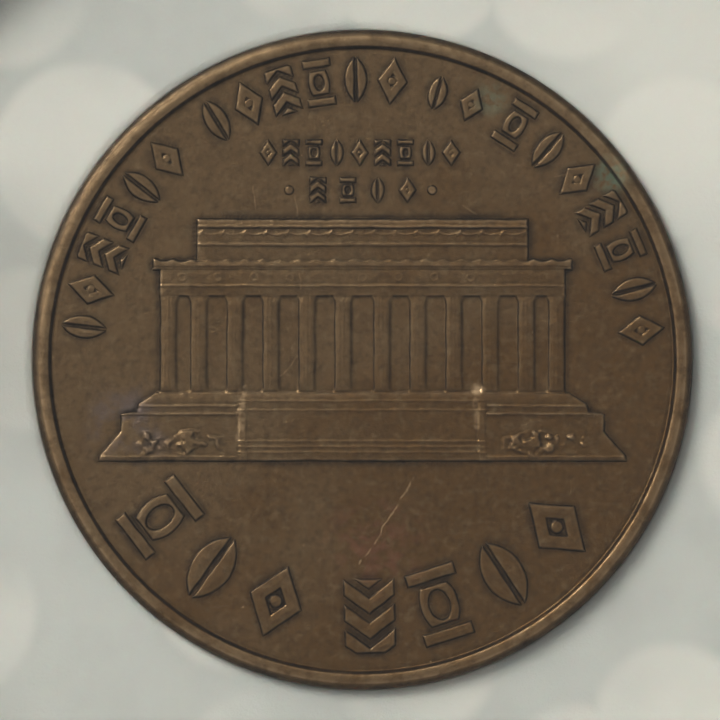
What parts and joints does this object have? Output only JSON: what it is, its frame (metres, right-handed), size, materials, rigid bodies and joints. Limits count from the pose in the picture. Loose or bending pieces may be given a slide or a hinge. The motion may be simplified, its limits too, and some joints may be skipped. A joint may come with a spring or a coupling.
{
  "type": "graded coin slab",
  "caption": "Sealed clear two-shell display case holding a small brown copper coin in a pale gasket and core, with printed label cards and a foil seal.",
  "frame": {"origin": "under the middle of the slab's outline, on the level of the back ridge's crest, which it lies on", "axes": "+Z out of the front face, with the coin side and label that the slab is read from; +Y up the slab, towards the label end; +X to the right as it is read"},
  "size_m": [0.0604, 0.0856, 0.0079],
  "materials": {
    "clear_shell": "polished clear polystyrene",
    "core_plastic": "fine matt moulded",
    "gasket_plastic": "cloudy satin soft plastic",
    "coin_copper": "brown toned bronze with worn bright edges",
    "label_card": "coated printed card",
    "seal_foil": "embossed diffraction foil"
  },
  "bodies": {
    "root": {"front_shell": "clear_shell", "back_shell": "clear_shell", "core_insert": "core_plastic", "coin_gasket": "gasket_plastic", "coin": "coin_copper", "front_label": "label_card", "back_label": "label_card", "hologram_seal": "seal_foil"}
  },
  "joints": []
}
